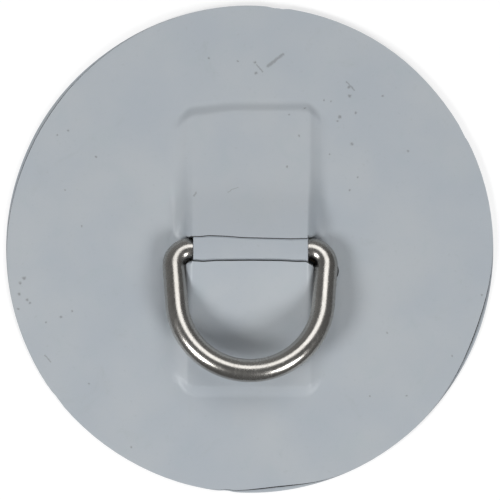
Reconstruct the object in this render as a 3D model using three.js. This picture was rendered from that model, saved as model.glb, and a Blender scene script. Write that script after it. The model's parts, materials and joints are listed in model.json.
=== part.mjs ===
// A pad eye for a soft hull: a round patch of PVC-coated boat fabric with a welded D-ring.
// Millimetres, +Z up and out of the glued face, origin in the middle of that face.
// The ring's straight bar lies along X; at rest the ring lies towards -Y.
import * as THREE from 'three';

// ---- driving dimensions -------------------------------------------------------------------

const BASE_RADIUS = 85;
const COVER_RADIUS = 84.5;

// Boat fabric: a coat, the woven scrim and a second coat.
const COAT = 0.35;
const SCRIM = 0.2;
const PLY = COAT + SCRIM + COAT;
const GLUE = 0.1;

const WIRE_RADIUS = 4;
const BAR_GAP = 0.1; // under the bar, so that the ring turns freely
const BAR_HEIGHT = PLY + BAR_GAP + WIRE_RADIUS;
const BEND_RADIUS = 25.4; // centreline of the ring's round end
const BEND_CENTRE = 17.7; // from the bar's axis to the middle of the round end
const CORNER_RADIUS = 5.8; // centreline between bar and leg
const LEG_LEAN = THREE.MathUtils.degToRad(4.5);
const REST_TILT = THREE.MathUtils.degToRad(14);
const WELD_WIDTH = 1.6;
const WELD_PROUD = 0.12;

const STRAP_WIDTH = 40;
const TAIL_END = 47.5; // from the bar's axis to the cut end of each tail
const BAR_PLAY = 0.15; // between the bar and the strap over it
const RAMP = THREE.MathUtils.degToRad(15); // slope of the strap on either side of the bar
const RAMP_BLEND = 4; // length of the bend from the ramp into the flat tail

const SLIT_HALF_WIDTH = 4; // along the loop
const SLIT_END_HALF_WIDTH = 5.6; // where the slit opens round the ring's shoulders
const SLIT_END = 30;
const STEP = 0.25; // clearance of the cover beside the strap
const SIDE_FOOT = 22.2; // where the cover reaches the base beside the strap
const END_FOOT = 51.2; // where it reaches the base past a tail's end

const EDGE_ROOM = 0.3; // from a glue film's edge to the cut edge of the strap
const RIM_ROOM = 0.8; // from the cover's glue film to the cover's rim and its lifted part

// How finely the round shapes are followed.
const DISC_STEPS = 48;
const FAN_STEPS = 8;
const WIRE_STEPS = 84;
const WIRE_SIDES = 14;
const WELD_SIDES = 24;

// ---- materials ----------------------------------------------------------------------------

const coating = new THREE.MeshStandardMaterial({ color: 0xabb2b6, roughness: 0.55, metalness: 0 });
const weave = new THREE.MeshStandardMaterial({ color: 0x4a4c4b, roughness: 0.9, metalness: 0 });
const glue = new THREE.MeshStandardMaterial({ color: 0xc9bd9a, roughness: 0.5, metalness: 0 });
const steel = new THREE.MeshStandardMaterial({ color: 0xc4c4c2, roughness: 0.18, metalness: 1 });
const weldSteel = new THREE.MeshStandardMaterial({ color: 0xa8a6a0, roughness: 0.4, metalness: 1 });

// ---- helpers ------------------------------------------------------------------------------

function named(name, geometry, material) {
  const mesh = new THREE.Mesh(geometry, material.clone());
  mesh.name = name;
  return mesh;
}

// The three laminae of a ply, as [name ending, material, lower side, upper side].
function laminae(lowerName, upperName) {
  return [
    [lowerName, coating, 0, COAT],
    ['scrim', weave, COAT, COAT + SCRIM],
    [upperName, coating, COAT + SCRIM, PLY],
  ];
}

// A prism on the flat outline, from height low to height high.
function slab(outline, low, high) {
  const geometry = new THREE.ExtrudeGeometry(outline, {
    depth: high - low,
    bevelEnabled: false,
    curveSegments: DISC_STEPS,
  });
  return geometry.translate(0, 0, low);
}

// ---- base disc ----------------------------------------------------------------------------

function baseDisc() {
  const disc = new THREE.Shape();
  disc.absarc(0, 0, BASE_RADIUS, 0, 2 * Math.PI);
  return laminae('back_coat', 'face_coat').map(([part, material, low, high]) =>
    named(`base_${part}`, slab(disc, low, high), material),
  );
}

// ---- ring strap ---------------------------------------------------------------------------

// Where the straight ramp would reach the level of the flat tails.
const TAIL_HEIGHT = PLY + GLUE;
const RAMP_TOP = BAR_HEIGHT + (WIRE_RADIUS + BAR_PLAY) / Math.cos(RAMP);
const RAMP_FOOT = (RAMP_TOP - TAIL_HEIGHT) / Math.tan(RAMP);

// Height of the strap's underside at a distance y from the bar's axis: round over the bar,
// straight down a ramp, and flat along the tail.
function strapUnderside(y) {
  const away = Math.abs(y);
  const crown = WIRE_RADIUS + BAR_PLAY;
  if (away < crown * Math.sin(RAMP)) return BAR_HEIGHT + Math.sqrt(crown ** 2 - away ** 2);
  const toFoot = RAMP_FOOT - away;
  if (toFoot > RAMP_BLEND) return TAIL_HEIGHT + toFoot * Math.tan(RAMP);
  if (toFoot < -RAMP_BLEND) return TAIL_HEIGHT;
  return TAIL_HEIGHT + ((toFoot + RAMP_BLEND) ** 2 / (4 * RAMP_BLEND)) * Math.tan(RAMP);
}

// Distances from the bar's axis at which the strap's and the cover's bends are followed.
const RAMP_STATIONS = [-1, -0.5, 0, 0.5, 1].map((share) => RAMP_FOOT + share * RAMP_BLEND);

// The strap's side view as (y, z) points, at one height through its thickness.
function strapLine(height) {
  const crownEnd = (WIRE_RADIUS + BAR_PLAY) * Math.sin(RAMP);
  const crown = [0, 1 / 3, 2 / 3, 1].map((share) => share * crownEnd);
  const half = [...crown, ...RAMP_STATIONS, TAIL_END];
  const both = [...half.slice(1).reverse().map((y) => -y), ...half];
  return both.map((y) => new THREE.Vector2(y, strapUnderside(y) + height));
}

function ringStrap() {
  const alongX = new THREE.Matrix4().makeBasis(
    new THREE.Vector3(0, 1, 0),
    new THREE.Vector3(0, 0, 1),
    new THREE.Vector3(1, 0, 0),
  );
  return laminae('inner_coat', 'outer_coat').map(([part, material, low, high]) => {
    const section = new THREE.Shape([...strapLine(low), ...strapLine(high).reverse()]);
    const geometry = slab(section, -STRAP_WIDTH / 2, STRAP_WIDTH / 2);
    return named(`strap_${part}`, geometry.applyMatrix4(alongX), material);
  });
}

// ---- cover disc ---------------------------------------------------------------------------

// How much of the lift over the strap is left, from the strap's edge to the cover's foot.
function fall(distance, edge, foot) {
  return 1 - THREE.MathUtils.clamp((distance - edge) / (foot - edge), 0, 1);
}

// Height of the cover's underside: on the base, or glued over the strap.
function coverUnderside(x, y) {
  const beside = fall(Math.abs(x), STRAP_WIDTH / 2 + STEP, SIDE_FOOT);
  const past = fall(Math.abs(y), TAIL_END + STEP, END_FOOT);
  const onStrap = strapUnderside(y) + PLY + GLUE;
  return TAIL_HEIGHT + beside * past * (onStrap - TAIL_HEIGHT);
}

// The grid lines of one quarter of the cover, each from the slit to the rim. Beside the strap
// they run straight along Y; the rest fan out from the slit's rounded end.
function coverSpokes() {
  const strapEdge = STRAP_WIDTH / 2 + STEP;
  const straight = [0, strapEdge / 3, (2 * strapEdge) / 3, strapEdge, SIDE_FOOT].map((x) => ({
    from: [x, x < SIDE_FOOT ? SLIT_HALF_WIDTH : SLIT_END_HALF_WIDTH],
    to: [x, Math.sqrt(COVER_RADIUS ** 2 - x ** 2)],
  }));
  const firstAngle = Math.acos(SIDE_FOOT / COVER_RADIUS);
  const fan = Array.from({ length: FAN_STEPS }, (_, i) => {
    const share = (i + 1) / FAN_STEPS;
    const turn = (share * Math.PI) / 2;
    const angle = firstAngle * (1 - share);
    return {
      from: [
        SIDE_FOOT + (SLIT_END - SIDE_FOOT) * Math.sin(turn),
        share < 1 ? SLIT_END_HALF_WIDTH * Math.cos(turn) : 0,
      ],
      to: [COVER_RADIUS * Math.cos(angle), share < 1 ? COVER_RADIUS * Math.sin(angle) : 0],
    };
  });
  return [...straight, ...fan];
}

// The quarter's grid lines repeated round the whole disc, anticlockwise from +X.
function allSpokes() {
  const quarter = coverSpokes().reverse();
  const flip = (sx, sy) => ({ from, to }) => ({
    from: [from[0] * sx, from[1] * sy],
    to: [to[0] * sx, to[1] * sy],
  });
  const back = [...quarter].reverse();
  return [
    ...quarter,
    ...back.slice(1).map(flip(-1, 1)),
    ...quarter.slice(1).map(flip(-1, -1)),
    ...back.slice(1, -1).map(flip(1, -1)),
  ];
}

// Points along a grid line, at the same shares of its length on every line outside the strap.
function stations(spoke) {
  const stops = [...RAMP_STATIONS, TAIL_END + STEP, END_FOOT];
  const rim = Math.sqrt(COVER_RADIUS ** 2 - SIDE_FOOT ** 2);
  const straight = Math.abs(spoke.from[0]) <= SIDE_FOOT;
  const start = straight ? Math.abs(spoke.from[1]) : SLIT_END_HALF_WIDTH;
  const end = straight ? Math.abs(spoke.to[1]) : rim;
  return [start, ...stops, end].map((stop) => {
    const share = (stop - start) / (end - start);
    return [0, 1].map((axis) => spoke.from[axis] + share * (spoke.to[axis] - spoke.from[axis]));
  });
}

// One lamina of the cover: a closed ring of cells round the slit.
function coverLamina(low, high) {
  const lines = allSpokes().map(stations);
  const perLine = lines[0].length;
  const positions = [];
  for (const line of lines) {
    for (const [x, y] of line) {
      const under = coverUnderside(x, y);
      positions.push(x, y, under + low, x, y, under + high);
    }
  }
  const corner = (line, station, side) =>
    2 * ((line % lines.length) * perLine + station) + side;
  const faces = [];
  const quad = (a, b, c, d) => faces.push(a, b, c, a, c, d);
  const last = perLine - 1;
  for (let i = 0; i < lines.length; i += 1) {
    for (let k = 0; k < last; k += 1) {
      quad(corner(i, k, 1), corner(i, k + 1, 1), corner(i + 1, k + 1, 1), corner(i + 1, k, 1));
      quad(corner(i, k, 0), corner(i + 1, k, 0), corner(i + 1, k + 1, 0), corner(i, k + 1, 0));
    }
    quad(corner(i, last, 0), corner(i + 1, last, 0), corner(i + 1, last, 1), corner(i, last, 1));
    quad(corner(i, 0, 0), corner(i, 0, 1), corner(i + 1, 0, 1), corner(i + 1, 0, 0));
  }
  const geometry = new THREE.BufferGeometry();
  geometry.setAttribute('position', new THREE.Float32BufferAttribute(positions, 3));
  geometry.setIndex(faces);
  return geometry;
}

function coverDisc() {
  return laminae('back_coat', 'face_coat').map(([part, material, low, high]) =>
    named(`cover_${part}`, coverLamina(low, high), material),
  );
}

// ---- glue films ---------------------------------------------------------------------------

function rectangle(x0, y0, x1, y1) {
  return new THREE.Shape([
    new THREE.Vector2(x0, y0),
    new THREE.Vector2(x1, y0),
    new THREE.Vector2(x1, y1),
    new THREE.Vector2(x0, y1),
  ]);
}

// Each film stops a little short of the strap's cut edges, and lies where the ply is flat.
function tailGlue() {
  const halfWidth = STRAP_WIDTH / 2 - EDGE_ROOM;
  const start = RAMP_STATIONS.at(-1) + EDGE_ROOM;
  const end = TAIL_END - EDGE_ROOM;
  const films = [];
  for (const [side, sign] of [['upper', 1], ['lower', -1]]) {
    for (const [place, low] of [
      ['tail_glue', PLY],
      ['tail_cover_glue', TAIL_HEIGHT + PLY],
    ]) {
      const [y0, y1] = [sign * start, sign * end].sort((a, b) => a - b);
      const outline = rectangle(-halfWidth, y0, halfWidth, y1);
      films.push(named(`${side}_${place}`, slab(outline, low, low + GLUE), glue));
    }
  }
  return films;
}

// The film that holds the cover to the base, left out under the lifted part of the cover.
function rimGlue() {
  const film = new THREE.Shape();
  film.absarc(0, 0, COVER_RADIUS - RIM_ROOM, 0, 2 * Math.PI);
  const side = SIDE_FOOT + RIM_ROOM;
  const shoulder = SLIT_END_HALF_WIDTH + RIM_ROOM;
  const end = SLIT_END + RIM_ROOM;
  const corner = [
    [end, shoulder / 2],
    [(side + end) / 2, shoulder],
    [side, shoulder + RIM_ROOM],
    [side, END_FOOT + RIM_ROOM],
  ];
  const turned = [...corner].reverse();
  const outline = [
    ...corner,
    ...turned.map(([x, y]) => [-x, y]),
    ...corner.map(([x, y]) => [-x, -y]),
    ...turned.map(([x, y]) => [x, -y]),
  ];
  film.holes.push(new THREE.Path(outline.map(([x, y]) => new THREE.Vector2(x, y))));
  return named('rim_glue', slab(film, PLY, PLY + GLUE), glue);
}

// ---- D-ring -------------------------------------------------------------------------------

// A flat path carried into three dimensions.
class FlatCurve extends THREE.Curve {
  constructor(path) {
    super();
    this.path = path;
  }

  getPoint(t, target = new THREE.Vector3()) {
    const point = this.path.getPointAt(t);
    return target.set(point.x, point.y, 0);
  }
}

// The ring's centreline in its own plane, from one side of the weld round to the other. The
// bar lies on the X axis and the round end towards -Y.
function ringLine() {
  const tangentX = BEND_RADIUS * Math.cos(LEG_LEAN);
  const tangentY = BEND_CENTRE + BEND_RADIUS * Math.sin(LEG_LEAN);
  const legAtCorner = tangentX + (tangentY - CORNER_RADIUS) * Math.tan(LEG_LEAN);
  const cornerX = legAtCorner - CORNER_RADIUS / Math.cos(LEG_LEAN);
  const quarter = Math.PI / 2;
  const line = new THREE.Path();
  line.moveTo(WELD_WIDTH / 2, 0);
  line.absarc(cornerX, -CORNER_RADIUS, CORNER_RADIUS, quarter, -LEG_LEAN, true);
  line.absarc(0, -BEND_CENTRE, BEND_RADIUS, -LEG_LEAN, LEG_LEAN - Math.PI, true);
  line.absarc(-cornerX, -CORNER_RADIUS, CORNER_RADIUS, Math.PI + LEG_LEAN, quarter, true);
  line.lineTo(-WELD_WIDTH / 2, 0);
  return line;
}

function ringWire() {
  const round = new THREE.Shape();
  round.absarc(0, 0, WIRE_RADIUS, 0, 2 * Math.PI);
  const geometry = new THREE.ExtrudeGeometry(round, {
    extrudePath: new FlatCurve(ringLine()),
    steps: WIRE_STEPS,
    curveSegments: WIRE_SIDES / 2,
  });
  return named('ring_wire', geometry, steel);
}

function ringWeld() {
  const half = WELD_WIDTH / 2;
  const profile = [
    [0, -half],
    [WIRE_RADIUS, -half],
    [WIRE_RADIUS + WELD_PROUD, 0],
    [WIRE_RADIUS, half],
    [0, half],
  ].map(([radius, height]) => new THREE.Vector2(radius, height));
  const alongX = new THREE.Matrix4().makeBasis(
    new THREE.Vector3(0, 0, 1),
    new THREE.Vector3(1, 0, 0),
    new THREE.Vector3(0, 1, 0),
  );
  const geometry = new THREE.LatheGeometry(profile, WELD_SIDES).applyMatrix4(alongX);
  return named('ring_weld', geometry, weldSteel);
}

function dRing() {
  const ring = new THREE.Group();
  ring.position.z = BAR_HEIGHT;
  ring.rotation.x = -REST_TILT;
  return ring.add(ringWire(), ringWeld());
}

// ---- assembly -----------------------------------------------------------------------------

const group = new THREE.Group();
group.add(...baseDisc(), ...ringStrap(), ...coverDisc(), ...tailGlue(), rimGlue(), dRing());

export default group;
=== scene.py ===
"""Looks of a pad eye for a soft hull: a round patch of PVC-coated boat fabric with a steel D-ring.

Lengths in this script are in millimetres until they reach a mesh, a light or the camera, which
are in metres. X runs along the ring's bar, +Z comes out of the patch, the ring lies towards -Y.
"""

import json
import math

import bpy
import numpy as np
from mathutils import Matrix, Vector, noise


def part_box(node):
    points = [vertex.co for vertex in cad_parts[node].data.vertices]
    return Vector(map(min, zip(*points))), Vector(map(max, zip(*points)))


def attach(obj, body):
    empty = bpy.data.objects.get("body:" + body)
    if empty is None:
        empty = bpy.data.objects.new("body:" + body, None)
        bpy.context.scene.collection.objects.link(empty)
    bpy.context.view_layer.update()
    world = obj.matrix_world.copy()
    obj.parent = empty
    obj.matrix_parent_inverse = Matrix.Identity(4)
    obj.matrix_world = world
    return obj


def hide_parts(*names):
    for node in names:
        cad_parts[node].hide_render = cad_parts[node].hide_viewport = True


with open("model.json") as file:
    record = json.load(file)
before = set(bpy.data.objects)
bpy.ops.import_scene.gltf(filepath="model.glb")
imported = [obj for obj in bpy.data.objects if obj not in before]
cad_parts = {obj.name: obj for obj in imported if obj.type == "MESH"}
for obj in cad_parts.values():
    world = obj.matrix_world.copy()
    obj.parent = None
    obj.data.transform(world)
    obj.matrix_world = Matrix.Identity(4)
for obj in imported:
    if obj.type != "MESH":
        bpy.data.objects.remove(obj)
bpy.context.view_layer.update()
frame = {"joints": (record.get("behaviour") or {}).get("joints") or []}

MM = 0.001


# ---- sizes from the frame -------------------------------------------------------------------

def node_box(node):
    """Lowest and highest corner of a CAD node, in millimetres."""
    low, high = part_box(node)
    return np.array(low) / MM, np.array(high) / MM


BASE_LOW, BASE_HIGH = node_box("base_face_coat")
BASE_RADIUS = BASE_HIGH[0]
COVER_RADIUS = node_box("cover_face_coat")[1][0]
PLY = BASE_HIGH[2]
GLUE = node_box("rim_glue")[1][2] - PLY
TAIL_HEIGHT = PLY + GLUE
COAT = BASE_HIGH[2] - BASE_LOW[2]
SCRIM = PLY - 2 * COAT
STRAP_HIGH = node_box("strap_outer_coat")[1]
STRAP_HALF = STRAP_HIGH[0]
TAIL_END = STRAP_HIGH[1]
CROWN_TOP = STRAP_HIGH[2]
BAR_HEIGHT = frame["joints"][0]["pos_m"][2] / MM
WIRE_RADIUS = BAR_HEIGHT - BASE_HIGH[2] - GLUE
WELD_HALF = node_box("ring_weld")[1][0]

# ---- shape of the soft parts ----------------------------------------------------------------

# The strap.
CROWN_HALF = 3.0          # half the length of the flat top of the loop over the bar
CROWN_ROUND = 0.6         # how softly the top turns into the slopes beside it
RAMP = 0.31               # slope of the strap beside the bar
RAMP_ROUND = 1.6          # how softly that slope turns into the tail
TAIL_SLOPE = 0.055        # slope along the tail
TAIL_LIFT = 0.5           # how much thicker the glue is under a tail's end than between the discs
STRAP_INSET = 0.02        # how much narrower each side of the strap is cut than the CAD's
STRAP_SINK = 0.03         # how far the strap settles onto what it lies on
SIDE_WOBBLE = 0.10        # how far the strap's cut sides wander
LOOP_SHIFT = 0.35         # how far the strap lies to the right over the bar
LOOP_REACH = 12.0         # and how far along it that fades out
LOOP_DENTS = 0.05         # depth of the dents in the loop over the bar
DENT_REACH = 8.0

# The cover's drape over the strap and its tails.
STRAP_ROOM = 0.1          # how far outside the strap's side the cover starts down
LEFT_FOOT = 28.0          # where the cover reaches the base beside the strap
RIGHT_FOOT = 26.8
RING_FOOT = 26.4          # and where the ring's legs pass over it
RING_REACH = 24.0         # how far from the bar the legs shape it
RING_FADE = 12.0          # and over what distance that fades out
DRAPE_LENGTH = 4.6        # from a tail's end to where the cover reaches the base past it
DRAPE_START = 0.2         # how far before the tail's end it starts down
CORNER_ROUND = 1.5        # how far in from the strap's side a tail's corners begin to round off
CORNER_CURVE = 0.10       # and how quickly they do
TAIL_BOW = 1.5            # how far the upper tail's end curves back at its left corner
BOW_START = 4.0           # how far left of the middle that curve begins
LEFT_RIDGE = 1.7          # how far outside the strap's side the crease beside it runs
RIGHT_RIDGE = 1.2
RIDGE_HEIGHT = 0.16
RIDGE_WIDTH = 0.9
BROAD_WAVES = 0.10        # height of the waves where the cover lies on the base
SMALL_WAVES = 0.04
WAVE_FADE = 0.5           # how far the cover is lifted where the waves are gone
COVER_REST = 0.05         # the cover's height over the glue between the waves

# Cut edges and glue.
CUT_SLANT = 0.34          # how far a ply's top coat is set back along a slanted cut, baring the near-black scrim as painted edge shade
CLEAN_CUT = 0.04          # share of that slant where the rim is cut square
RIM_GLUE_SETBACK = 1.2    # how far the glue between the discs stays back from their cut edges
GLUE_ROOM = 0.01          # between a film of glue and the plies it joins
RIM_WOBBLE = 0.16         # how far the base's hand cut wanders in from a true circle
COVER_WOBBLE = 0.05       # and the cover's from the base's
COVER_INSET = 0.03        # how much smaller than the base the cover is cut all round
GRID_EDGE = 25.0          # the cover's grid runs along Y within this distance of the middle

# ---- shape of the D-ring --------------------------------------------------------------------

BEND_RADIUS = 25.4        # centreline of the round end
BEND_CENTRE = 17.7        # from the bar's axis to the middle of the round end
CORNER_RADIUS = 5.8       # centreline between bar and leg
LEG_LEAN = math.radians(4.5)
REST_TILT = math.radians(14)
RING_SLIDE = 0.15         # how far the ring has slid along its bar, within its play
BEND_START = BEND_CENTRE + BEND_RADIUS * math.sin(LEG_LEAN)
LEG_END_X = BEND_RADIUS * math.cos(LEG_LEAN)
CORNER_X = (LEG_END_X + (BEND_START - CORNER_RADIUS) * math.tan(LEG_LEAN)
            - CORNER_RADIUS / math.cos(LEG_LEAN))
WIRE_SIDES = 40           # facets round the wire
WELD_BEAD = 0.12          # how far the weld rises in its middle
WELD_GROOVE = 0.02        # how far it is ground down at its ends
RING_ROOM = 0.15          # between the cover and the ring that lies on it
ROOM_STEEPNESS = 5        # how steeply that room opens up outside the wire
ROOM_ROUND = 0.8          # how softly the cover turns aside for the ring
FLANK_START = 0.3         # how far outside the cover's shoulder it starts to make room

# ---- the hand cut ---------------------------------------------------------------------------

# The slit's cut edges, as hand-cut: (x, y) from left to right, and the two rounded ends.
UPPER_LIP = [
    (-25, 2.3), (-22.5, 3.3), (-21, 3.8), (-20, 4.2), (-17, 4.2), (-14, 4.5), (-8.6, 4.3),
    (-2, 3.8), (6, 3.6), (14, 3.4), (19, 3.5), (22, 3.4), (25, 2.7),
]
LOWER_LIP = [
    (-25, -7.2), (-22.3, -5.1), (-20.6, -3.8), (-19, -3.9), (-16, -4.1), (-12, -3.8),
    (0, -3.7), (10.5, -3.8), (16, -4.1), (19.5, -4.1), (22, -5.6), (25, -8.6),
]
RIGHT_END = [
    (25, 2.7), (27.0, 1.3), (28.8, -1.8), (30.1, -5.0), (30.7, -8.0), (29.4, -10.0), (25, -8.6),
]
LEFT_END = [
    (-25, 2.3), (-26.8, 0.7), (-28.2, -2.0), (-28.9, -4.4), (-28.9, -7.0), (-27.6, -8.6), (-25, -7.2),
]

# Nicks in the base disc's rim: (angle in degrees, width in degrees, depth).
BASE_NICKS = [
    (84.2, 1.1, 0.4), (82.2, 0.9, 0.35), (28.4, 1.3, 0.4), (218, 1.5, 0.35), (264.5, 1.4, 0.4),
]
# Where the cover is cut smaller than the base: the same, then what share of CUT_SLANT it has, which sets how
# much painted edge shade the bared scrim gives there.
COVER_SETBACKS = [(149, 27, 0.85, 0.6), (-20, 14, 1.0, 0.95), (-84, 10, 1.3, 1.4)]


def soft_noise(x, y, size, seed=0.0):
    """Smooth noise between -1 and 1, with features about size across."""
    return noise.noise((x / size, y / size, seed))


def smooth(t):
    """Rises from 0 to 1 as t does, level at both ends."""
    t = min(max(t, 0.0), 1.0)
    return t * t * (3 - 2 * t)


def soft_min(a, b, width):
    """The smaller of a and b, rounded where they cross."""
    gap = max(width - abs(a - b), 0.0) / width
    return min(a, b) - gap * gap * width / 4


def soft_max(a, b, width):
    """The larger of a and b, rounded where they cross."""
    return -soft_min(-a, -b, width)


def strap_underside(y):
    """Height of the strap's underside: flat over the bar, down a ramp, then slowly to its end."""
    crown = CROWN_TOP - PLY
    ramp = crown - RAMP * (abs(y) - CROWN_HALF)
    tail = TAIL_HEIGHT + TAIL_LIFT + TAIL_SLOPE * (TAIL_END - abs(y))
    return soft_min(crown, soft_max(ramp, tail, RAMP_ROUND), CROWN_ROUND)


def under_ring(x, y):
    """Height of the ring's underside over a place, whichever side the ring lies on."""
    x, y = abs(x), abs(y)
    along = y / math.cos(REST_TILT)
    if along < CORNER_RADIUS:
        away = abs(math.hypot(x - CORNER_X, CORNER_RADIUS - along) - CORNER_RADIUS)
    elif along < BEND_START:
        away = abs(x - LEG_END_X - (BEND_START - along) * math.tan(LEG_LEAN))
    else:
        away = abs(math.hypot(x, along - BEND_CENTRE) - BEND_RADIUS)
    middle = BAR_HEIGHT + y * math.tan(REST_TILT)
    if away > WIRE_RADIUS:
        return middle + ROOM_STEEPNESS * (away - WIRE_RADIUS)
    return middle - math.sqrt(WIRE_RADIUS ** 2 - away ** 2) / math.cos(REST_TILT)


def cover_underside(x, y):
    """Height of the cover's underside: on the base, or glued over the strap."""
    by_ring = smooth((RING_REACH - abs(y)) / RING_FADE)
    foot = (RIGHT_FOOT if x > 0 else LEFT_FOOT) * (1 - by_ring) + RING_FOOT * by_ring
    edge = STRAP_HALF + STRAP_ROOM
    down = min(max((abs(x) - edge) / (foot - edge), 0.0), 1.0)
    beside = 1 - (down + smooth(down)) / 2
    bow = CORNER_CURVE * max(abs(x) - STRAP_HALF + CORNER_ROUND, 0.0) ** 2
    if y > 0:
        bow += TAIL_BOW * smooth((-x - BOW_START) / (STRAP_HALF - BOW_START))
    past = 1 - smooth((abs(y) - TAIL_END + DRAPE_START + bow) / DRAPE_LENGTH)
    lift = beside * past * (strap_underside(y) + PLY + GLUE - TAIL_HEIGHT)
    if abs(x) > edge + FLANK_START:
        room = under_ring(x, y) - RING_ROOM - PLY - TAIL_HEIGHT
        lift = max(soft_min(lift, room, ROOM_ROUND), -GLUE)
    ridge_x = -STRAP_HALF - LEFT_RIDGE if x < 0 else STRAP_HALF + RIGHT_RIDGE
    ridge = RIDGE_HEIGHT * math.exp(-((x - ridge_x) / RIDGE_WIDTH) ** 2) * past
    waves = BROAD_WAVES * soft_noise(x, y, 38, 3) + SMALL_WAVES * soft_noise(x, y, 15, 7)
    on_base = 1 - smooth(lift / WAVE_FADE)
    return TAIL_HEIGHT + lift + ridge + COVER_REST + waves * on_base / 2 + 0.07 * abs(waves)


# ---- mesh making ----------------------------------------------------------------------------

def make_piece(name, points, faces, material, body):
    """A smooth-shaded mesh piece from points in millimetres, riding on a CAD body."""
    mesh = bpy.data.meshes.new(name)
    mesh.from_pydata((np.array(points) * MM).tolist(), [], faces)
    mesh.shade_smooth()
    mesh.set_sharp_from_angle(angle=math.radians(50))
    mesh.materials.append(material)
    piece = bpy.data.objects.new(name, mesh)
    bpy.context.scene.collection.objects.link(piece)
    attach(piece, body)
    return piece


def curve_through(points, count):
    """count points spaced evenly along a smooth curve through the given ones."""
    p = np.array([points[0], *points, points[-1]], float)
    fine = []
    for i in range(1, len(p) - 2):
        for t in np.linspace(0, 1, 24, endpoint=False):
            a, b, c, d = p[i - 1], p[i], p[i + 1], p[i + 2]
            fine.append(0.5 * (2 * b + (c - a) * t + (2 * a - 5 * b + 4 * c - d) * t ** 2
                               + (3 * b - a - 3 * c + d) * t ** 3))
    fine.append(p[-1])
    fine = np.array(fine)
    along = np.concatenate([[0], np.cumsum(np.linalg.norm(np.diff(fine, axis=0), axis=1))])
    wanted = np.linspace(0, along[-1], count)
    return np.stack([np.interp(wanted, along, fine[:, k]) for k in (0, 1)], axis=1)


def bump(angle, centre, width):
    """1 at centre, falling to 0 within about width, all in degrees round the rim."""
    away = (angle - centre + 180) % 360 - 180
    return math.exp(-(away / width) ** 2)


def base_rim(angle):
    """Radius of the base disc's cut at an angle in degrees."""
    a = math.radians(angle)
    wobble = RIM_WOBBLE * soft_noise(60 * math.cos(a), 60 * math.sin(a), 22, 11) - RIM_WOBBLE
    nicks = sum(depth * bump(angle, at, width) for at, width, depth in BASE_NICKS)
    return BASE_RADIUS + wobble - nicks


def cover_rim(angle):
    """Radius of the cover disc's cut at an angle in degrees."""
    a = math.radians(angle)
    wobble = COVER_WOBBLE * soft_noise(60 * math.cos(a), 60 * math.sin(a), 9, 17)
    setback = sum(depth * bump(angle, at, width) for at, width, depth, slant in COVER_SETBACKS)
    return base_rim(angle) - COVER_INSET + wobble - setback


def rim_slant(angle):
    """How far the rim's cut slants at an angle: fully where the cover is set back, else hardly; the slant
    bares the near-black scrim as painted edge shade.
    """
    return CLEAN_CUT + sum(slant * bump(angle, at, width) for at, width, depth, slant in COVER_SETBACKS)


def layers():
    """The laminae of a ply: name ending, material, slot, lower side, upper side, edge setback."""
    return [
        ("back", PVC, "pvc_coat", 0, COAT, 0.0),
        ("scrim", WEAVE_AND_EDGE_SHADE, "scrim", COAT, COAT + SCRIM, 0.15),
        ("face", PVC, "pvc_coat", COAT + SCRIM, PLY, 1.0),
    ]


def ring_of_cells(lines, low_side, high_side):
    """Closed mesh round a hole. Each line is a row of (x, y) points from the hole to the rim."""
    per_line = len(lines[0])
    count = len(lines)
    points = []
    for line in lines:
        for x, y in line:
            points.append((x, y, low_side(x, y)))
            points.append((x, y, high_side(x, y)))
    last = per_line - 1

    def corner(line, station, side):
        return 2 * ((line % count) * per_line + station) + side

    faces = []
    for i in range(count):
        for k in range(last):
            faces.append((corner(i, k, 1), corner(i, k + 1, 1), corner(i + 1, k + 1, 1), corner(i + 1, k, 1)))
            faces.append((corner(i, k, 0), corner(i + 1, k, 0), corner(i + 1, k + 1, 0), corner(i, k + 1, 0)))
        faces.append((corner(i, last, 0), corner(i + 1, last, 0), corner(i + 1, last, 1), corner(i, last, 1)))
        faces.append((corner(i, 0, 0), corner(i, 0, 1), corner(i + 1, 0, 1), corner(i + 1, 0, 0)))
    return points, faces


def cover_spokes():
    """The cover's grid lines as (start at the slit, end at the rim), anticlockwise from +X."""
    straight = 100
    fan = 46
    across = np.linspace(GRID_EDGE, -GRID_EDGE, straight)
    upper = [(x, np.interp(x, *np.array(UPPER_LIP).T)) for x in across]
    lower = [(x, np.interp(x, *np.array(LOWER_LIP).T)) for x in across[::-1]]
    right = curve_through(RIGHT_END[::-1], fan)[1:-1]
    left = curve_through(LEFT_END, fan)[1:-1]

    def rim_angle(x, sign):
        return math.degrees(math.atan2(sign * math.sqrt(COVER_RADIUS ** 2 - x ** 2), x))

    top = rim_angle(GRID_EDGE, 1)
    right_angles = np.linspace(-top, top, fan)[1:-1]
    left_angles = np.linspace(180 - top, 180 + top, fan)[1:-1]
    starts = [*right, *upper, *left, *lower]
    angles = [*right_angles, *(rim_angle(x, 1) for x in across), *left_angles,
              *(rim_angle(x, -1) % 360 for x in across[::-1])]
    return starts, angles


# Shares of the way from the slit to the rim, closest together at the lips and the tails' ends.
COVER_SHARES = np.concatenate([
    np.linspace(0.0, 0.06, 9, endpoint=False),
    np.linspace(0.06, 0.50, 30, endpoint=False),
    np.linspace(0.50, 0.62, 20, endpoint=False),
    np.linspace(0.62, 0.97, 16, endpoint=False),
    np.linspace(0.97, 1.0, 4),
])


def cover_lines(at_slit, at_rim):
    """Grid lines of one layer, set back at_slit from the slit's lips and at_rim(angle) from the rim."""
    starts, angles = cover_spokes()
    lines = []
    for start, angle in zip(starts, angles):
        a = math.radians(angle)
        end = (cover_rim(angle) - at_rim(angle)) * np.array([math.cos(a), math.sin(a)])
        begin = np.array(start, float)
        begin = begin + at_slit * (end - begin) / np.linalg.norm(end - begin)
        lines.append([begin + share * (end - begin) for share in COVER_SHARES])
    return lines


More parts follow.
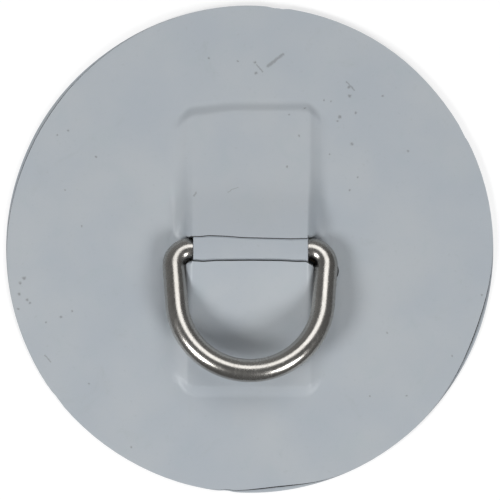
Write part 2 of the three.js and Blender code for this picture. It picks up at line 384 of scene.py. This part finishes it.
def make_cover():
    """The cover disc, from the slit's lips to its rim, draped over the strap."""
    pieces = []
    for part, material, slot, low, high, share in layers():
        # the slanted cuts at the lips and the rim bare the near-black scrim, which paints the shade of the
        # cut edges
        lines = cover_lines(CUT_SLANT * share, lambda angle: CUT_SLANT * share * rim_slant(angle))
        points, faces = ring_of_cells(
            lines, lambda x, y: cover_underside(x, y) + low, lambda x, y: cover_underside(x, y) + high)
        pieces.append(make_piece(f"cover_ply_{part}", points, faces, material, "patch"))
    return pieces


def make_base():
    """The base disc: a small middle face, rings of cells round it and an almost square cut edge."""
    sides = 360
    rings = np.concatenate([[0.02], np.linspace(0.1, 0.97, 14), [0.985, 1.0]])
    pieces = []
    for part, material, slot, low, high, share in layers():
        lines = []
        for i in range(sides):
            angle = i * 360 / sides
            a = math.radians(angle)
            radius = base_rim(angle) - CUT_SLANT * share * CLEAN_CUT
            lines.append([(ring * radius * math.cos(a), ring * radius * math.sin(a)) for ring in rings])
        points, faces = ring_of_cells(lines, lambda x, y: low, lambda x, y: high)
        inner = 2 * len(rings)
        faces = [f for f in faces if not all(v % inner < 2 for v in f)]
        faces.append(tuple(inner * i + 1 for i in range(sides)))
        faces.append(tuple(inner * i for i in reversed(range(sides))))
        pieces.append(make_piece(f"base_ply_{part}", points, faces, material, "patch"))
    return pieces


def slab_faces(n, m):
    """Faces of a closed slab of n rows of m places, each with a lower and an upper point."""

    def at(i, j, side):
        return 2 * (i * m + j) + side

    faces = []
    for i in range(n - 1):
        for j in range(m - 1):
            faces.append((at(i, j, 1), at(i, j + 1, 1), at(i + 1, j + 1, 1), at(i + 1, j, 1)))
            faces.append((at(i, j, 0), at(i + 1, j, 0), at(i + 1, j + 1, 0), at(i, j + 1, 0)))
        faces.append((at(i, 0, 0), at(i, 0, 1), at(i + 1, 0, 1), at(i + 1, 0, 0)))
        faces.append((at(i, m - 1, 0), at(i + 1, m - 1, 0), at(i + 1, m - 1, 1), at(i, m - 1, 1)))
    for j in range(m - 1):
        faces.append((at(0, j, 0), at(0, j + 1, 0), at(0, j + 1, 1), at(0, j, 1)))
        faces.append((at(n - 1, j, 0), at(n - 1, j, 1), at(n - 1, j + 1, 1), at(n - 1, j + 1, 0)))
    return faces


def make_strap():
    """The ring strap: one ply, up over the bar and down both sides, slightly crooked there."""
    across = np.linspace(-1, 1, 33)
    half_way = np.concatenate([np.linspace(0, 8, 25), np.linspace(8.8, TAIL_END - 0.3, 34)])
    along = np.concatenate([-half_way[:0:-1], half_way])
    pieces = []
    for part, material, slot, low, high, share in layers():
        # the strap's sides are slanted too, baring the near-black scrim as painted edge shade
        setback = CUT_SLANT * share * 0.5
        points = []
        for y in along:
            for u in across:
                wobble = SIDE_WOBBLE * soft_noise(0, y, 9, 21 + (u > 0))
                shift = LOOP_SHIFT * math.exp(-(y / LOOP_REACH) ** 2)
                x = u * (STRAP_HALF - STRAP_INSET - setback) + shift + wobble * abs(u)
                dent = LOOP_DENTS * soft_noise(x, y, 12, 31) * math.exp(-(y / DENT_REACH) ** 2)
                z = strap_underside(y) + dent - STRAP_SINK
                points += [(x, y, z + low), (x, y, z + high)]
        faces = slab_faces(len(along), len(across))
        pieces.append(make_piece(f"strap_ply_{part}", points, faces, material, "patch"))
    return pieces


def make_tail_glue():
    """Glue under and over each tail, which fills what is left between the plies."""
    for side, sign in (("upper", 1), ("lower", -1)):
        for film, low_side, high_side in (
            ("tail_glue", lambda y: PLY, strap_underside),
            ("tail_cover_glue", lambda y: strap_underside(y) + PLY,
             lambda y: strap_underside(y) + PLY + GLUE),
        ):
            node = f"{side}_{film}"
            low, high = node_box(node)
            start, end = low[1], high[1]
            rows = 16
            places = 21
            points = []
            for y in np.linspace(start, end, rows):
                for u in np.linspace(-1, 1, places):
                    squeeze = 0.6 * abs(soft_noise(u * 20, y, 5, 41)) * sign
                    x = u * (high[0] - 0.2)
                    edge = y - squeeze if abs(y) > abs(start + end) / 2 else y + squeeze
                    points.append((x, edge, low_side(edge) + GLUE_ROOM))
                    points.append((x, edge, high_side(edge) - GLUE_ROOM))
            faces = slab_faces(rows, places)
            piece = make_piece(f"{node}_film", points, faces, GLUE_FILM, "patch")
            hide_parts(node)


def make_rim_glue():
    """The film between cover and base, squeezed back from the slit and the rim."""
    lines = cover_lines(RIM_GLUE_SETBACK, lambda angle: RIM_GLUE_SETBACK)
    points, faces = ring_of_cells(
        lines, lambda x, y: PLY + GLUE_ROOM, lambda x, y: PLY + GLUE - GLUE_ROOM)
    film = make_piece("rim_glue_film", points, faces, GLUE_FILM, "patch")
    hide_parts("rim_glue")


# ---- D-ring ---------------------------------------------------------------------------------

def arc(cx, cy, radius, start, end, count):
    """count points round part of a circle."""
    return [(cx + radius * math.cos(a), cy + radius * math.sin(a)) for a in np.linspace(start, end, count)]


def ring_path():
    """The ring's centreline in its own plane, from the right end of the weld round to the left."""
    quarter = math.pi / 2
    bar = [(x, 0.0) for x in np.linspace(WELD_HALF, CORNER_X, 12, endpoint=False)]
    corner = arc(CORNER_X, -CORNER_RADIUS, CORNER_RADIUS, quarter, -LEG_LEAN, 30)
    round_end = arc(0, -BEND_CENTRE, BEND_RADIUS, -LEG_LEAN, -quarter, 70)
    leg_start, leg_end = np.array(corner[-1]), np.array(round_end[0])
    leg = [tuple(leg_start + (leg_end - leg_start) * t) for t in np.linspace(0, 1, 8)[1:-1]]
    right = [*bar, *corner, *leg, *round_end]
    left = [(-x, y) for x, y in reversed(right[:-1])]
    return np.array([*right, *left])


def swept_wire(path, radii, sides):
    """Points and faces of a capped round wire along a path in the XY plane."""
    ahead = np.gradient(path, axis=0)
    ahead /= np.linalg.norm(ahead, axis=1)[:, None]
    points = []
    for (x, y), (dx, dy), radius in zip(path, ahead, radii):
        for k in range(sides):
            a = 2 * math.pi * k / sides
            out, up = radius * math.cos(a), radius * math.sin(a)
            points.append((x - dy * out, y + dx * out, up))
    faces = []
    for i in range(len(path) - 1):
        for k in range(sides):
            j = (k + 1) % sides
            faces.append((i * sides + k, i * sides + j, (i + 1) * sides + j, (i + 1) * sides + k))
    faces.append(tuple(reversed(range(sides))))
    faces.append(tuple((len(path) - 1) * sides + k for k in range(sides)))
    return points, faces


def at_rest(points):
    """Carries points from the ring's plane to where the ring rests."""
    p = np.array(points)
    c, s = math.cos(-REST_TILT), math.sin(-REST_TILT)
    y = p[:, 1] * c - p[:, 2] * s
    z = p[:, 1] * s + p[:, 2] * c
    return np.stack([p[:, 0] + RING_SLIDE, y, z + BAR_HEIGHT], axis=1)


def make_ring():
    """The bent wire, and the weld that closes it in the middle of its bar."""
    path = ring_path()
    points, faces = swept_wire(path, np.full(len(path), WIRE_RADIUS), WIRE_SIDES)
    wire = make_piece("d_ring_wire", at_rest(points), faces, STEEL, "ring")
    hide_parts("ring_wire")
    reach = np.linspace(-WELD_HALF, WELD_HALF, 9)
    bead = [WELD_BEAD * math.cos(math.pi * x / (2 * WELD_HALF)) for x in reach]
    radii = [WIRE_RADIUS - WELD_GROOVE + rise for rise in bead]
    points, faces = swept_wire(np.array([(x, 0.0) for x in reach]), radii, WIRE_SIDES)
    weld = make_piece("d_ring_weld", at_rest(points), faces, WELD, "ring")
    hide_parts("ring_weld")


# ---- materials ------------------------------------------------------------------------------

class Nodes:
    """Short calls for building a material's node tree."""

    def __init__(self, name):
        self.material = bpy.data.materials.new(name)
        self.material.use_nodes = True
        self.tree = self.material.node_tree
        self.shader = self.tree.nodes["Principled BSDF"]
        self.place = self.add("ShaderNodeTexCoord").outputs["Object"]

    def add(self, kind, inputs=(), **settings):
        """A node with its settings, and its inputs set to values or linked."""
        node = self.tree.nodes.new(kind)
        for key, value in settings.items():
            setattr(node, key, value)
        for key, value in dict(inputs).items():
            if isinstance(value, bpy.types.NodeSocket):
                self.tree.links.new(value, node.inputs[key])
            else:
                node.inputs[key].default_value = value
        return node

    def math(self, operation, a, b=0.0, c=0.0):
        return self.add("ShaderNodeMath", {0: a, 1: b, 2: c}, operation=operation).outputs[0]

    def vector(self, operation, a, b=(0, 0, 0)):
        node = self.add("ShaderNodeVectorMath", {0: a, 1: b}, operation=operation)
        return node.outputs["Value" if operation in ("DISTANCE", "LENGTH") else "Vector"]

    def noise(self, size, detail=3.0, where=None, roughness=0.5, distortion=0.0):
        """Noise with features about size metres across, from 0 to 1."""
        node = self.add("ShaderNodeTexNoise", {
            "Vector": where or self.place, "Scale": 1 / size, "Detail": detail,
            "Roughness": roughness, "Distortion": distortion})
        return node.outputs["Fac"]

    def ramp(self, value, low, high, to_low=0.0, to_high=1.0):
        """Value carried from low..high to to_low..to_high, smoothly and clamped."""
        node = self.add("ShaderNodeMapRange", {
            "Value": value, "From Min": low, "From Max": high, "To Min": to_low, "To Max": to_high},
            interpolation_type="SMOOTHSTEP")
        return node.outputs["Result"]

    def mix(self, share, a, b):
        """Colour a where share is 0 and b where it is 1."""
        node = self.add("ShaderNodeMix", {0: share, 6: a, 7: b}, data_type="RGBA")
        return node.outputs[2]

    def set(self, **sockets):
        """Gives the shader's sockets values or links, with _ for a space in a socket's name."""
        for key, value in sockets.items():
            socket = self.shader.inputs[key.replace("_", " ")]
            if isinstance(value, bpy.types.NodeSocket):
                self.tree.links.new(value, socket)
            else:
                socket.default_value = value

    def bump(self, height, distance, strength=1.0):
        """Fine relief of the surface, distance metres deep."""
        node = self.add("ShaderNodeBump", {"Height": height, "Distance": distance, "Strength": strength})
        self.set(Normal=node.outputs["Normal"])


# Specks of dirt on the cover: (x, y, radius). Short scratches: (x0, y0, x1, y1, radius).
SPECKS = [
    (1.8, 65.1, .45), (2.2, 61.3, .5), (-14.2, 66.5, .4), (-4.1, 65.5, .3), (34.6, 56.4, .5),
    (34.9, 53.3, .55), (46.4, 53.3, .4), (25.9, 51.9, .3), (28.3, 51.5, .35), (19.2, 49.1, .35),
    (31.4, 46, .5), (30.7, 44.6, .35), (37, 47.4, .4), (13.7, 46.7, .3), (35.6, 36.6, .5),
    (27.9, 33.1, .3), (13, 28.6, .3), (17.2, 39.4, .35), (55.1, 34.1, .35), (37.7, 25.1, .3),
    (34.9, 20.6, .35), (-63.2, 41.4, .35), (-67.1, 39.7, .3), (-53.5, 32.1, .3), (-64.3, 20.6, .3),
    (-58.4, 8, .3), (-78.5, -10.1, .55), (-79.9, -11.8, .5), (-80.3, -15.6, .5), (-77.5, -17.7, .5),
    (-76.5, -18.8, .4), (-80.6, -20.8, .4), (-65.7, -23.6, .5), (-61.8, -21.5, .35),
    (-70.9, -25.4, .35), (-41.3, -68.9, .4), (-55.9, -46.9, .3), (47.8, -29.2, .3),
    (54.7, -51.1, .3), (41.9, -51.1, .3), (80.8, -16, .3), (70.4, -37.2, .3),
]
SCRATCHES = [
    (11.6, 67.9, 6.4, 63.7, .55), (-18.6, 19.75, -19.25, 18.5, .28), (-7.6, 19.65, -6.05, 20.8, .16),
    (-6.05, 20.8, -4.0, 21.4, .14), (-71.3, -37.0, -69.2, -39.2, .25),
    (33.8, 58.2, 36.4, 55.4, .3), (2.5, 64.2, 4.5, 61.8, .25),
]
SPECK_WANDER = 0.0009     # in metres: how far noise carries the specks' outlines out of round


def speck_mask(n):
    """1 on the specks and scratches, falling to 0 round them."""
    wander = n.vector("SCALE", n.add("ShaderNodeTexNoise", {
        "Vector": n.place, "Scale": 900.0, "Detail": 2.0}).outputs["Color"])
    wander.node.inputs["Scale"].default_value = SPECK_WANDER
    place = n.vector("ADD", n.vector("ADD", n.place, wander), (-SPECK_WANDER / 2, -SPECK_WANDER / 2, 0))
    flat = n.vector("MULTIPLY", place, (1, 1, 0))
    total = None
    for x, y, radius in SPECKS:
        away = n.vector("DISTANCE", flat, (x * MM, y * MM, 0))
        mark = n.ramp(away, radius * 1.7 * MM, radius * 0.2 * MM)
        total = mark if total is None else n.math("MAXIMUM", total, mark)
    for x0, y0, x1, y1, radius in SCRATCHES:
        steps = max(3, int(math.hypot(x1 - x0, y1 - y0) / radius))
        for t in np.linspace(0, 1, steps):
            x, y = x0 + t * (x1 - x0), y0 + t * (y1 - y0)
            away = n.vector("DISTANCE", flat, (x * MM, y * MM, 0))
            total = n.math("MAXIMUM", total, n.ramp(away, radius * 1.5 * MM, radius * 0.3 * MM, 0, 0.8))
    return total


def pvc_material():
    """Semi-matte coating, clouded by handling, with specks of grit and short scratches."""
    n = Nodes("pvc_coat")
    clouds = n.ramp(n.noise(0.034, 4, roughness=0.55), 0.32, 0.68)
    colour = n.mix(clouds, (0.407, 0.445, 0.485, 1), (0.438, 0.469, 0.496, 1))
    blotches = n.ramp(n.noise(0.011, 5, roughness=0.6, distortion=0.6), 0.50, 0.72, 0.0, 0.16)
    colour = n.mix(blotches, colour, (0.36, 0.43, 0.45, 1))
    smears = n.ramp(n.noise(0.022, 6, roughness=0.7, distortion=1.4), 0.58, 0.80, 0.0, 0.30)
    colour = n.mix(smears, colour, (0.33, 0.36, 0.36, 1))
    fine = n.ramp(n.noise(0.0012, 2), 0.62, 0.80, 0.0, 0.12)
    colour = n.mix(fine, colour, (0.25, 0.27, 0.27, 1))
    colour = n.mix(n.math("MULTIPLY", speck_mask(n), 0.50), colour, (0.09, 0.08, 0.07, 1))
    rough = n.ramp(n.noise(0.016, 5, roughness=0.6), 0.3, 0.7, 0.37, 0.47)
    grain = n.noise(0.0006, 2)
    dents = n.noise(0.009, 3)
    height = n.math("ADD", n.math("MULTIPLY", grain, 0.10), dents)
    n.bump(height, 0.00010, 0.8)
    n.set(Base_Color=colour, Roughness=rough)
    n.shader.inputs["Specular IOR Level"].default_value = 0.5
    return n.material


def weave_and_edge_shade_material():
    """Woven polyester: two crossing sets of threads, near-black, which also paints the shade of the cut edges
    where a slanted cut bares it.
    """
    n = Nodes("scrim")
    bands = []
    for direction in ("X", "Y"):
        wave = n.add("ShaderNodeTexWave", {"Vector": n.place, "Scale": 320.0, "Distortion": 0.6},
                     bands_direction=direction)
        bands.append(wave.outputs["Fac"])
    threads = n.math("MULTIPLY", bands[0], bands[1])
    # near-black threads: the scrim's own dark colour, also standing in for the shade in the cut edges
    n.set(Base_Color=n.mix(threads, (0.020, 0.020, 0.021, 1), (0.075, 0.074, 0.072, 1)), Roughness=0.85)
    n.bump(threads, 0.00015)
    return n.material


def glue_material():
    """Cured adhesive: amber, slightly cloudy, with small bubbles."""
    n = Nodes("glue")
    cloudy = n.ramp(n.noise(0.006, 4), 0.3, 0.7)
    colour = n.mix(cloudy, (0.42, 0.35, 0.22, 1), (0.55, 0.48, 0.34, 1))
    bubbles = n.add("ShaderNodeTexVoronoi", {"Vector": n.place, "Scale": 700.0}).outputs["Distance"]
    n.set(Base_Color=colour, Roughness=n.ramp(bubbles, 0.1, 0.5, 0.25, 0.5))
    n.bump(bubbles, 0.00005)
    return n.material


def steel_material():
    """Polished stainless wire with faint drawing lines, rubbed dull in patches."""
    n = Nodes("stainless")
    cloudy = n.ramp(n.noise(0.007, 4, roughness=0.6), 0.3, 0.7)
    colour = n.mix(cloudy, (0.40, 0.385, 0.36, 1), (0.45, 0.435, 0.41, 1))
    stretched = n.vector("MULTIPLY", n.place, (1, 0.25, 1))
    lines = n.noise(0.0007, 4, where=stretched, roughness=0.65)
    rubbed = n.ramp(n.noise(0.012, 3, roughness=0.5), 0.35, 0.7, 0.0, 0.05)
    rough = n.math("ADD", n.ramp(lines, 0.35, 0.7, 0.21, 0.26), rubbed)
    scratches = n.ramp(n.noise(0.0035, 6, where=stretched, roughness=0.8, distortion=2.0), 0.60, 0.64)
    rough = n.math("ADD", rough, n.math("MULTIPLY", scratches, 0.03))
    n.set(Base_Color=colour, Roughness=rough, Metallic=1.0)
    n.bump(n.math("ADD", lines, n.math("MULTIPLY", scratches, 0.3)), 0.00002, 0.35)
    return n.material


def weld_material():
    """Ground butt weld: duller, with ripples and a straw tint."""
    n = Nodes("weld")
    tint = n.ramp(n.noise(0.002, 3), 0.3, 0.7)
    colour = n.mix(tint, (0.40, 0.34, 0.26, 1), (0.52, 0.50, 0.47, 1))
    wave = n.add("ShaderNodeTexWave", {"Vector": n.place, "Scale": 700.0, "Distortion": 2.0})
    ripples = wave.outputs["Fac"]
    n.set(Base_Color=colour, Roughness=n.ramp(ripples, 0.2, 0.8, 0.36, 0.5), Metallic=1.0)
    n.bump(ripples, 0.00006)
    return n.material


# ---- floor, lights and camera ---------------------------------------------------------------

FLOOR_REACH = 4.0
FLOOR_DROP = 0.0002       # how far the floor lies under the patch
FLOOR_GLOW = 0.65


def make_floor():
    """A plain pale floor that keeps close to white under the soft lights."""
    n = Nodes("floor")
    soft = n.ramp(n.noise(0.4, 2), 0.2, 0.8)
    colour = n.mix(soft, (0.40, 0.40, 0.40, 1), (0.41, 0.41, 0.41, 1))
    n.set(Base_Color=colour, Roughness=0.9)
    n.shader.inputs["Specular IOR Level"].default_value = 0.0
    n.shader.inputs["Emission Color"].default_value = (1, 1, 1, 1)
    n.shader.inputs["Emission Strength"].default_value = FLOOR_GLOW
    mesh = bpy.data.meshes.new("floor")
    corners = [(FLOOR_REACH * x, FLOOR_REACH * y, 0) for x, y in ((-1, -1), (1, -1), (1, 1), (-1, 1))]
    mesh.from_pydata(corners, [], [(0, 1, 2, 3)])
    mesh.materials.append(n.material)
    floor = bpy.data.objects.new("floor", mesh)
    bpy.context.scene.collection.objects.link(floor)
    floor.location.z = -FLOOR_DROP
    floor.visible_glossy = False
    floor.visible_diffuse = False


LIGHT_DISTANCE = 1.2
PATCH_ALBEDO = 0.46       # of the fabric's colour, which turns a share of brightness into light
# Softboxes: name, tilt from straight up, azimuth, width and height in degrees as seen from the
# patch, and the share of the patch's brightness that each gives.
SOFTBOXES = [
    ("front", 33, 75, 43, 33, 0.106),
    ("left", 47, 210, 20, 21, 0.158),
    ("right", 50, 310, 21, 22, 0.127),
]


def add_softbox(name, tilt, azimuth, wide, tall, share):
    """A soft oval lamp that faces the patch."""
    t, a = math.radians(tilt), math.radians(azimuth)
    direction = np.array([math.sin(t) * math.cos(a), math.sin(t) * math.sin(a), math.cos(t)])
    width = 2 * LIGHT_DISTANCE * math.tan(math.radians(wide / 2))
    height = 2 * LIGHT_DISTANCE * math.tan(math.radians(tall / 2))
    light = bpy.data.lights.new(name, "AREA")
    light.shape = "ELLIPSE"
    light.size = width
    light.size_y = height
    irradiance = share / PATCH_ALBEDO * math.pi
    light.energy = irradiance * math.pi * LIGHT_DISTANCE ** 2 / math.cos(t)
    lamp = bpy.data.objects.new(name, light)
    bpy.context.scene.collection.objects.link(lamp)
    lamp.location = direction * LIGHT_DISTANCE
    lamp.rotation_euler = lamp.location.to_track_quat("Z", "Y").to_euler()
    lamp.visible_camera = False


def make_world():
    """A dim room for the light, and a pale backdrop for the camera."""
    world = bpy.data.worlds.new("studio")
    world.use_nodes = True
    tree = world.node_tree
    room = tree.nodes["Background"]
    room.inputs["Color"].default_value = (0.98, 0.99, 1.0, 1)
    direction = tree.nodes.new("ShaderNodeTexCoord").outputs["Generated"]
    toward = tree.nodes.new("ShaderNodeVectorMath")
    toward.operation = "DOT_PRODUCT"
    toward.inputs[1].default_value = (-0.45, 0.80, -0.75)
    tree.links.new(direction, toward.inputs[0])
    glow = tree.nodes.new("ShaderNodeMapRange")
    glow.interpolation_type = "SMOOTHSTEP"
    for key, value in (("From Min", -0.1), ("From Max", 0.8), ("To Min", 0.150), ("To Max", 0.29)):
        glow.inputs[key].default_value = value
    tree.links.new(toward.outputs["Value"], glow.inputs["Value"])
    tree.links.new(glow.outputs["Result"], room.inputs["Strength"])
    backdrop = tree.nodes.new("ShaderNodeBackground")
    backdrop.inputs["Color"].default_value = (0.93, 0.93, 0.93, 1)
    eye = tree.nodes.new("ShaderNodeLightPath")
    mix = tree.nodes.new("ShaderNodeMixShader")
    tree.links.new(eye.outputs["Is Camera Ray"], mix.inputs[0])
    tree.links.new(room.outputs[0], mix.inputs[1])
    tree.links.new(backdrop.outputs[0], mix.inputs[2])
    tree.links.new(mix.outputs[0], tree.nodes["World Output"].inputs["Surface"])
    bpy.context.scene.world = world


CAMERA_HEIGHT = 1.2
VIEW_WIDTH = 0.1741       # covered at the patch
VIEW_CENTRE = (0.00012, -0.00030)


def make_camera():
    """Straight down, with +Y at the top of the picture."""
    data = bpy.data.cameras.new("camera")
    data.lens = data.sensor_width * (CAMERA_HEIGHT - 2 * PLY * MM) / VIEW_WIDTH
    camera = bpy.data.objects.new("camera", data)
    bpy.context.scene.collection.objects.link(camera)
    camera.location = (*VIEW_CENTRE, CAMERA_HEIGHT)
    bpy.context.scene.camera = camera
    bpy.context.scene.view_settings.view_transform = "Standard"


# ---- assembly -------------------------------------------------------------------------------

make_camera()
PVC = pvc_material()
WEAVE_AND_EDGE_SHADE = weave_and_edge_shade_material()
GLUE_FILM = glue_material()
STEEL = steel_material()
WELD = weld_material()

base_back, base_scrim, base_face = make_base()
strap_back, strap_scrim, strap_face = make_strap()
cover_back, cover_scrim, cover_face = make_cover()
for piece, node in (
    (base_back, "base_back_coat"), (base_scrim, "base_scrim"), (base_face, "base_face_coat"),
    (strap_back, "strap_inner_coat"), (strap_scrim, "strap_scrim"), (strap_face, "strap_outer_coat"),
    (cover_back, "cover_back_coat"), (cover_scrim, "cover_scrim"), (cover_face, "cover_face_coat"),
):
    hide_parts(node)
make_ring()

make_tail_glue()
make_rim_glue()

make_floor()
make_world()
for softbox in SOFTBOXES:
    add_softbox(*softbox)
